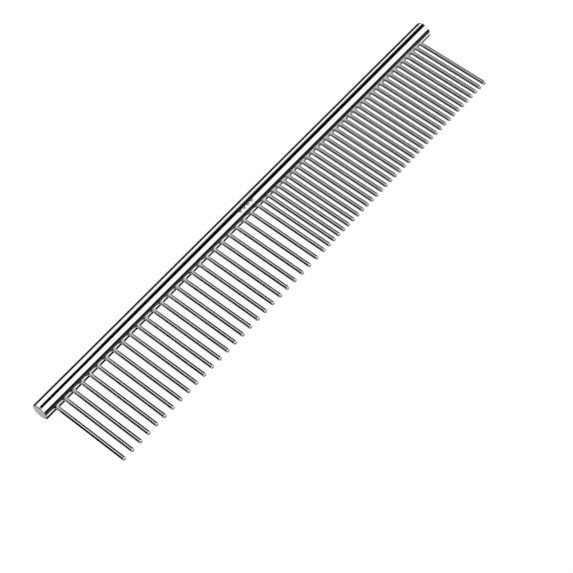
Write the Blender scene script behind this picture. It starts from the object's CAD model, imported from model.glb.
"""Looks for the steel grooming comb: finer meshes, polished steel, a white studio and the camera."""

import math

import bmesh
import bpy
from mathutils import Matrix, Vector


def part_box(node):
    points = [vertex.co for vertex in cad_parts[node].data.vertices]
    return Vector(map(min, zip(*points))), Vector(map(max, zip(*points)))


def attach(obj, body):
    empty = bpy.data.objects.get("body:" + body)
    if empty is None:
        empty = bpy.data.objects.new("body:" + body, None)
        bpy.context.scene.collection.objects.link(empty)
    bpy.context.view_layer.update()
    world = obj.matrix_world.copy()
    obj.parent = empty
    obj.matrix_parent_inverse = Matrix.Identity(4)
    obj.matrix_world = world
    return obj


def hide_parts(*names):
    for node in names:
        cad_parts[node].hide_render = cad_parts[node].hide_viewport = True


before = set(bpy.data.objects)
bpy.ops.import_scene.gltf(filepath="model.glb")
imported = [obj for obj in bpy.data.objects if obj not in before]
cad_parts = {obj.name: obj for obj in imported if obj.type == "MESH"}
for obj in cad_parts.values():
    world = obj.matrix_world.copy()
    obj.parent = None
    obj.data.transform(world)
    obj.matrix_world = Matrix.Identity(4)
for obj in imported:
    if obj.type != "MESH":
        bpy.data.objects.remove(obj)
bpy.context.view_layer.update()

MM = 0.001
BODY = "root"


# ---------------------------------------------------------------------------------------------
# Where the comb is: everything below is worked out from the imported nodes
# ---------------------------------------------------------------------------------------------

spine_low, spine_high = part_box("spine")
SPINE_LENGTH = spine_high.x - spine_low.x
SPINE_R = (spine_high.z - spine_low.z) / 2
AXIS_Y = (spine_low.y + spine_high.y) / 2
AXIS_Z = (spine_low.z + spine_high.z) / 2

tine_low, tine_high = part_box("coarse_tine_01")
TINE_R = (tine_high.x - tine_low.x) / 2

# The comb leans about its spine until the tine tips touch the table.
TIP_RUN = AXIS_Y - tine_low.y - TINE_R
LEAN = math.atan2(SPINE_R - TINE_R, TIP_RUN)
TIP_BALL = TIP_RUN / math.cos(LEAN)
SEAT_FLOOR = (tine_high.y - AXIS_Y) / math.cos(LEAN)

# The comb's own axes: along the spine, along the tines, and square to both.
ALONG = Vector((1, 0, 0))
DOWN_TINE = Vector((0, -math.cos(LEAN), -math.sin(LEAN)))
UPRIGHT = Vector((0, -math.sin(LEAN), math.cos(LEAN)))


def on_axis(x):
    """The point of the spine's axis at x."""
    return Vector((x, AXIS_Y, AXIS_Z))


def tine_places():
    """(node, number, x) of every tine, coarse ones first; one node may hold several tines."""
    centre = {n: (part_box(n)[0].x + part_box(n)[1].x) / 2 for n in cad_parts}
    fine_pitch = centre["fine_tine_02"] - centre["fine_tine_01"]
    places = []
    for kind in ("coarse", "fine"):
        number = 0
        for node in sorted(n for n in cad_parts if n.startswith(kind)):
            low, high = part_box(node)
            span = high.x - low.x - 2 * TINE_R
            count = 1 + round(span / fine_pitch)
            for i in range(count):
                number += 1
                places.append((node, f"{kind}_tine_{number:02d}", low.x + TINE_R + i * fine_pitch))
    return places


TINES = tine_places()


# ---------------------------------------------------------------------------------------------
# Mesh helpers
# ---------------------------------------------------------------------------------------------


def new_object(name, bm, *materials):
    mesh = bpy.data.meshes.new(name)
    bm.to_mesh(mesh)
    bm.free()
    for material in materials:
        mesh.materials.append(material)
    obj = bpy.data.objects.new(name, mesh)
    bpy.context.scene.collection.objects.link(obj)
    return obj


def lathe(bm, profile, origin, axis, side, segments):
    """Closed solid of revolution: profile is (radius, distance along axis), both ends on the axis."""
    other = axis.cross(side)
    rings = []
    for radius, along in profile:
        middle = origin + axis * along
        if radius == 0:
            rings.append([bm.verts.new(middle)])
            continue
        ring = []
        for i in range(segments):
            turn = 2 * math.pi * i / segments
            ring.append(bm.verts.new(middle + radius * (math.cos(turn) * side + math.sin(turn) * other)))
        rings.append(ring)
    for a, b in zip(rings, rings[1:]):
        for i in range(segments):
            j = (i + 1) % segments
            corners = [a[i % len(a)], a[j % len(a)], b[j % len(b)], b[i % len(b)]]
            bm.faces.new(list(dict.fromkeys(corners)))


def quarter_round(radius, steps, centre_r, centre_along, start, end):
    """Profile points on an arc about (centre_r, centre_along), from angle start to end in degrees."""
    points = []
    for i in range(steps + 1):
        turn = math.radians(start + (end - start) * i / steps)
        points.append((centre_r + radius * math.cos(turn), centre_along + radius * math.sin(turn)))
    return points


# ---------------------------------------------------------------------------------------------
# Tines
# ---------------------------------------------------------------------------------------------

TINE_SEGMENTS = 32
LEAD_IN = 0.2 * MM
ROOT_FLARE = 0.1 * MM
HOLD = 0.06 * MM


def tine_profile():
    """A tine from its seated end to its tip: lead-in bevel, plated root flare, shank, ball."""
    profile = [(0, -SEAT_FLOOR), (TINE_R - LEAD_IN, -SEAT_FLOOR), (TINE_R, -SEAT_FLOOR + LEAD_IN)]
    flare_at = SPINE_R + ROOT_FLARE
    flare = quarter_round(ROOT_FLARE, 4, TINE_R + ROOT_FLARE, flare_at, 270, 180)
    profile += [(TINE_R, flare_at - 3 * ROOT_FLARE)] + flare
    profile += [(TINE_R, flare_at + HOLD), (TINE_R, TIP_BALL - HOLD)]
    ball = quarter_round(TINE_R, 9, 0, TIP_BALL, 0, 90)
    return profile + ball[:-1] + [(0, TIP_BALL + TINE_R)]


def make_tine(name, x, material):
    bm = bmesh.new()
    lathe(bm, tine_profile(), on_axis(x), DOWN_TINE, ALONG, TINE_SEGMENTS)
    bmesh.ops.recalc_face_normals(bm, faces=bm.faces)
    obj = new_object(name, bm, material)
    obj.data.shade_smooth()
    obj.data.set_sharp_from_angle(angle=math.radians(35))
    return obj


# ---------------------------------------------------------------------------------------------
# Spine
# ---------------------------------------------------------------------------------------------

SPINE_SEGMENTS = 96
EDGE_ROUND = 0.3 * MM


def make_spine(wall, end):
    half = SPINE_LENGTH / 2
    left = quarter_round(EDGE_ROUND, 5, SPINE_R - EDGE_ROUND, -half + EDGE_ROUND, -90, 0)
    right = quarter_round(EDGE_ROUND, 5, SPINE_R - EDGE_ROUND, half - EDGE_ROUND, 0, 90)
    profile = [(0, -half)] + left + [(SPINE_R, -half + 2 * EDGE_ROUND)]
    profile += [(SPINE_R, half - 2 * EDGE_ROUND)] + right + [(0, half)]
    bm = bmesh.new()
    lathe(bm, profile, on_axis(0), ALONG, UPRIGHT, SPINE_SEGMENTS)
    bmesh.ops.recalc_face_normals(bm, faces=bm.faces)
    for face in bm.faces:
        face.material_index = 1 if abs(face.normal.x) > 0.999 else 0
    obj = new_object("spine_bar", bm, wall, end)
    obj.data.shade_smooth()
    obj.data.set_sharp_from_angle(angle=math.radians(35))
    return obj


# ---------------------------------------------------------------------------------------------
# Etched mark: a plain row of hollow diamonds at the middle of the spine
# ---------------------------------------------------------------------------------------------

MARK_X = -0.7 * MM
MARK_TURN = math.radians(11)
DIAMONDS = 4
DIAMOND_PITCH = 1.8 * MM
DIAMOND_WIDE = 1.7 * MM
DIAMOND_TALL = 2.4 * MM
STROKE = 0.42 * MM
MARK_PROUD = 0.01 * MM
MARK_DEEP = 0.03 * MM


def on_spine(x, across, lift):
    """A point on the spine's wall: across is the arc from the mark's middle towards the tines."""
    turn = MARK_TURN + across / SPINE_R
    return on_axis(x) + (SPINE_R + lift) * (math.cos(turn) * UPRIGHT + math.sin(turn) * DOWN_TINE)


def diamond_loop(x, wide, tall, steps=6):
    """(x, across) points once round a diamond, evenly spaced along its four sides."""
    corners = [(x - wide / 2, 0), (x, tall / 2), (x + wide / 2, 0), (x, -tall / 2)]
    points = []
    for i, (ax, ay) in enumerate(corners):
        bx, by = corners[(i + 1) % len(corners)]
        points += [(ax + (bx - ax) * k / steps, ay + (by - ay) * k / steps) for k in range(steps)]
    return points


def make_mark(material):
    bm = bmesh.new()
    # A stroke of the same width all round takes this share off both diagonals.
    inset = 2 * STROKE * math.hypot(DIAMOND_WIDE, DIAMOND_TALL) / (DIAMOND_WIDE * DIAMOND_TALL)
    for i in range(DIAMONDS):
        x = MARK_X + (i - (DIAMONDS - 1) / 2) * DIAMOND_PITCH
        outer = diamond_loop(x, DIAMOND_WIDE, DIAMOND_TALL)
        inner = diamond_loop(x, DIAMOND_WIDE * (1 - inset), DIAMOND_TALL * (1 - inset))
        loops = []
        section = [(outer, -MARK_DEEP), (outer, MARK_PROUD), (inner, MARK_PROUD), (inner, -MARK_DEEP)]
        for points, lift in section:
            loops.append([bm.verts.new(on_spine(px, across, lift)) for px, across in points])
        for a, b in zip(loops, loops[1:] + loops[:1]):
            for j in range(len(a)):
                k = (j + 1) % len(a)
                bm.faces.new([a[j], a[k], b[k], b[j]])
    bmesh.ops.recalc_face_normals(bm, faces=bm.faces)
    return new_object("spine_diamond_row", bm, material)


# ---------------------------------------------------------------------------------------------
# Materials
# ---------------------------------------------------------------------------------------------


CLOUD_SCALE = 260.0
DARKER_TINT = 0.94
GRAIN_DEPTH = 0.002 * MM

# Blender's ring wave repeats every 0.31 of a length unit at scale 1.
RING_WAVE = 0.31


def polished_steel(name, colour, roughness, grain_scale, bump, metallic=1.0):
    """Bright plated steel with fine polishing lines: grain_scale squeezes the noise across the grain.
    A metallic value under 1 stands for a matte cut face, which scatters part of its light."""
    material = bpy.data.materials.new(name)
    material.use_nodes = True
    tree = material.node_tree
    tree.nodes.clear()
    out = tree.nodes.new("ShaderNodeOutputMaterial")
    shader = tree.nodes.new("ShaderNodeBsdfPrincipled")
    shader.inputs["Metallic"].default_value = metallic
    tree.links.new(shader.outputs[0], out.inputs[0])

    place = tree.nodes.new("ShaderNodeTexCoord")
    squeeze = tree.nodes.new("ShaderNodeMapping")
    squeeze.inputs["Scale"].default_value = grain_scale
    tree.links.new(place.outputs["Object"], squeeze.inputs["Vector"])

    lines = tree.nodes.new("ShaderNodeTexNoise")
    lines.inputs["Scale"].default_value = 1.0
    lines.inputs["Detail"].default_value = 4.0
    lines.inputs["Roughness"].default_value = 0.6
    tree.links.new(squeeze.outputs[0], lines.inputs["Vector"])

    clouds = tree.nodes.new("ShaderNodeTexNoise")
    clouds.inputs["Scale"].default_value = CLOUD_SCALE
    clouds.inputs["Detail"].default_value = 3.0
    tree.links.new(place.outputs["Object"], clouds.inputs["Vector"])

    tint = tree.nodes.new("ShaderNodeMix")
    tint.data_type = "RGBA"
    tint.inputs["A"].default_value = (*[c * DARKER_TINT for c in colour], 1)
    tint.inputs["B"].default_value = (*colour, 1)
    tree.links.new(clouds.outputs["Fac"], tint.inputs["Factor"])
    tree.links.new(tint.outputs["Result"], shader.inputs["Base Color"])

    gloss = tree.nodes.new("ShaderNodeMapRange")
    gloss.inputs["From Min"].default_value = 0.3
    gloss.inputs["From Max"].default_value = 0.7
    gloss.inputs["To Min"].default_value = roughness[0]
    gloss.inputs["To Max"].default_value = roughness[1]
    tree.links.new(lines.outputs["Fac"], gloss.inputs["Value"])
    tree.links.new(gloss.outputs["Result"], shader.inputs["Roughness"])

    relief = tree.nodes.new("ShaderNodeBump")
    relief.inputs["Strength"].default_value = bump
    relief.inputs["Distance"].default_value = GRAIN_DEPTH
    tree.links.new(lines.outputs["Fac"], relief.inputs["Height"])
    tree.links.new(relief.outputs["Normal"], shader.inputs["Normal"])
    return material


def turn_the_face(material, ring_pitch, depth):
    """Adds the rings that a lathe tool leaves on the end face, centred on the spine's axis."""
    tree = material.node_tree
    place = tree.nodes["Texture Coordinate"]
    centre = tree.nodes.new("ShaderNodeMapping")
    centre.inputs["Location"].default_value = (0, -AXIS_Y, -AXIS_Z)
    tree.links.new(place.outputs["Object"], centre.inputs["Vector"])
    rings = tree.nodes.new("ShaderNodeTexWave")
    rings.wave_type = "RINGS"
    rings.rings_direction = "X"
    rings.inputs["Scale"].default_value = RING_WAVE / ring_pitch
    rings.inputs["Distortion"].default_value = 0.6
    tree.links.new(centre.outputs[0], rings.inputs["Vector"])
    relief = tree.nodes.new("ShaderNodeBump")
    relief.inputs["Strength"].default_value = 0.5
    relief.inputs["Distance"].default_value = depth
    tree.links.new(rings.outputs["Fac"], relief.inputs["Height"])
    grain = tree.nodes["Bump"]
    tree.links.new(relief.outputs["Normal"], grain.inputs["Normal"])


RING_PITCH = 0.18 * MM
RING_DEPTH = 0.004 * MM
STEEL = (0.84, 0.84, 0.84)
END_STEEL = (0.62, 0.62, 0.62)
OXIDE = (0.03, 0.03, 0.03)
spine_steel = polished_steel("spine_steel", STEEL, (0.03, 0.07), (25, 1800, 1800), 0.08)
end_steel = polished_steel("turned_end_steel", END_STEEL, (0.4, 0.55), (900, 900, 900), 0.4, 0.3)
turn_the_face(end_steel, RING_PITCH, RING_DEPTH)
tine_steel = polished_steel("tine_steel", STEEL, (0.03, 0.06), (2200, 60, 2200), 0.02)
oxide = polished_steel("etched_oxide", OXIDE, (0.45, 0.7), (4000, 4000, 4000), 0.8)


# ---------------------------------------------------------------------------------------------
# The comb
# ---------------------------------------------------------------------------------------------

spine = make_spine(spine_steel, end_steel)
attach(spine, BODY)
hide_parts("spine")

mark = make_mark(oxide)
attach(mark, BODY)

for node, name, x in TINES:
    tine = make_tine(f"{name}_wire", x, tine_steel)
    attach(tine, BODY)
    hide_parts(node)


# ---------------------------------------------------------------------------------------------
# Studio: a white room, a pale table, and black flags that only the polished metal sees
# ---------------------------------------------------------------------------------------------

ROOM_LIGHT = 1.15


def plain_material(name, colour, glow=0.0):
    material = bpy.data.materials.new(name)
    material.use_nodes = True
    shader = material.node_tree.nodes["Principled BSDF"]
    shader.inputs["Base Color"].default_value = (colour, colour, colour, 1)
    shader.inputs["Roughness"].default_value = 1.0
    shader.inputs["Specular IOR Level"].default_value = 0.0
    shader.inputs["Emission Color"].default_value = (1, 1, 1, 1)
    shader.inputs["Emission Strength"].default_value = glow
    return material


def panel(name, corners, material):
    """A flat or folded card through the given corners, part of the studio."""
    bm = bmesh.new()
    bm.faces.new([bm.verts.new(c) for c in corners])
    obj = new_object(name, bm, material)
    return obj


def level_square(name, half, height, material):
    corners = [(-half, -half, height), (half, -half, height), (half, half, height), (-half, half, height)]
    return panel(name, corners, material)


def in_reflections_only(obj):
    obj.visible_camera = False
    obj.visible_diffuse = False
    obj.visible_shadow = False
    obj.visible_transmission = False
    obj.visible_volume_scatter = False


def curved_card(name, azimuths, low, high, distance, material, steps=12):
    """A card bent round the comb, seen only in the metal. Azimuth is counted from +X towards +Y; low and
    high are its edges' elevations at the first and the last azimuth. All are in degrees."""
    bm = bmesh.new()
    rows = []
    for edge in (low, high):
        row = []
        for i in range(steps + 1):
            t = i / steps
            a = math.radians(azimuths[0] + (azimuths[1] - azimuths[0]) * t)
            e = math.radians(edge[0] + (edge[1] - edge[0]) * t)
            around = Vector((math.cos(a) * math.cos(e), math.sin(a) * math.cos(e), math.sin(e)))
            row.append(bm.verts.new(around * distance))
        rows.append(row)
    for i in range(steps):
        bm.faces.new([rows[0][i], rows[0][i + 1], rows[1][i + 1], rows[1][i]])
    obj = new_object(name, bm, material)
    in_reflections_only(obj)
    return obj


world = bpy.data.worlds.new("white_room")
bpy.context.scene.world = world
world.use_nodes = True
world.node_tree.nodes["Background"].inputs["Color"].default_value = (1, 1, 1, 1)
world.node_tree.nodes["Background"].inputs["Strength"].default_value = ROOM_LIGHT

table_top = plain_material("table_top", 0.06, 0.95)
flag_black = plain_material("flag_black", 0.0)
flag_grey = plain_material("flag_grey", 0.0, 0.025)
flag_soft = plain_material("flag_soft", 0.0, 0.2)
flag_dim = plain_material("flag_dim", 0.0, 0.035)
fill_white = plain_material("fill_white", 0.0, 0.95)

# The table glows, so it stays white with almost no shadow. The metal doesn't see it.
TABLE = 6.0
table = level_square("table", TABLE, 0, table_top)
table.visible_glossy = False

# The flags stand far off, so every tine sees them in nearly the same direction. Where two overlap, the
# nearer one shows.
FAR = 5.0
SOFT_EDGE_AT = FAR * 1.05
RIGHT_FLAG_AT = FAR * 1.1
LOW_FLAG_AT = FAR * 0.98
FILL_AT = FAR * 0.9
UNDER = FAR * 1.2


def overhead_card(name, slopes, distance, material):
    """A level card above the comb: each corner is its run in X and in Y for one unit of rise."""
    obj = panel(name, [(x * distance, y * distance, distance) for x, y in slopes], material)
    in_reflections_only(obj)
    return obj


# The black line along the top of the spine, then its soft far side.
overhead_card("overhead_flag", [
    (0.10, -0.27), (0.30, -0.19), (0.45, -0.17), (0.66, -0.06), (3.0, 0.9),
    (3.0, 2.2), (0.82, 0.80), (0.54, 0.58), (0.31, 0.45), (0.10, 0.20),
], FAR, flag_black)
overhead_card("overhead_soft_edge", [
    (0.36, 0.30), (3.0, 1.3), (3.0, 2.8), (0.90, 1.05), (0.60, 0.90), (0.36, 0.60),
], SOFT_EDGE_AT, flag_soft)

# The dark sides of the tines.
overhead_card("left_flag", [
    (-0.42, 0.42), (-0.70, 0.54), (-0.82, 0.60), (-6.0, 2.8),
    (-6.0, 1.2), (-2.5, 0.3), (-2.5, -1.2), (-0.42, -0.20),
], FAR, flag_black)
curved_card("left_low_flag", (145, 172), (-12, -12), (14, 14), FAR, flag_black)
curved_card("right_flag", (8, 45), (-12, -12), (20, 20), RIGHT_FLAG_AT, flag_black)

# The spine's grey rear outline.
curved_card("back_flag", (30, 150), (-70, -70), (17, 11), FAR, flag_grey)

# The dark line above the tines' roots, and the white scallops below it.
curved_card("front_left_flag", (-140, -74), (10, 10), (28, 28), FAR, flag_black)
curved_card("front_right_flag", (-74, -30), (10, 8), (28, 14), FAR, flag_black)
curved_card("front_low_flag", (-140, -30), (-16, -16), (10.5, 10.5), LOW_FLAG_AT, flag_dim)
curved_card("front_fill", (-130, -30), (-46, -43), (-23, -20), FILL_AT, fill_white)

in_reflections_only(level_square("under_flag", 6 * UNDER, -UNDER, flag_black))

bpy.context.scene.view_settings.view_transform = "Standard"


# ---------------------------------------------------------------------------------------------
# Camera
# ---------------------------------------------------------------------------------------------

CAMERA_AT = Vector((-235.3, -227.2, 443.6)) * MM
LOOK_AT = Vector((-15.7, -16.4, 3.0)) * MM
ROLL = math.radians(5.6)

camera = bpy.data.objects.new("camera", bpy.data.cameras.new("camera"))
bpy.context.scene.collection.objects.link(camera)
camera.data.lens = 109.0
camera.data.sensor_width = 36.0
camera.data.clip_start = 0.01
camera.data.clip_end = 20.0
camera.location = CAMERA_AT
camera.rotation_mode = "QUATERNION"
aim = (LOOK_AT - CAMERA_AT).to_track_quat("-Z", "Y")
camera.rotation_quaternion = aim @ Matrix.Rotation(-ROLL, 3, "Z").to_quaternion()
bpy.context.scene.camera = camera
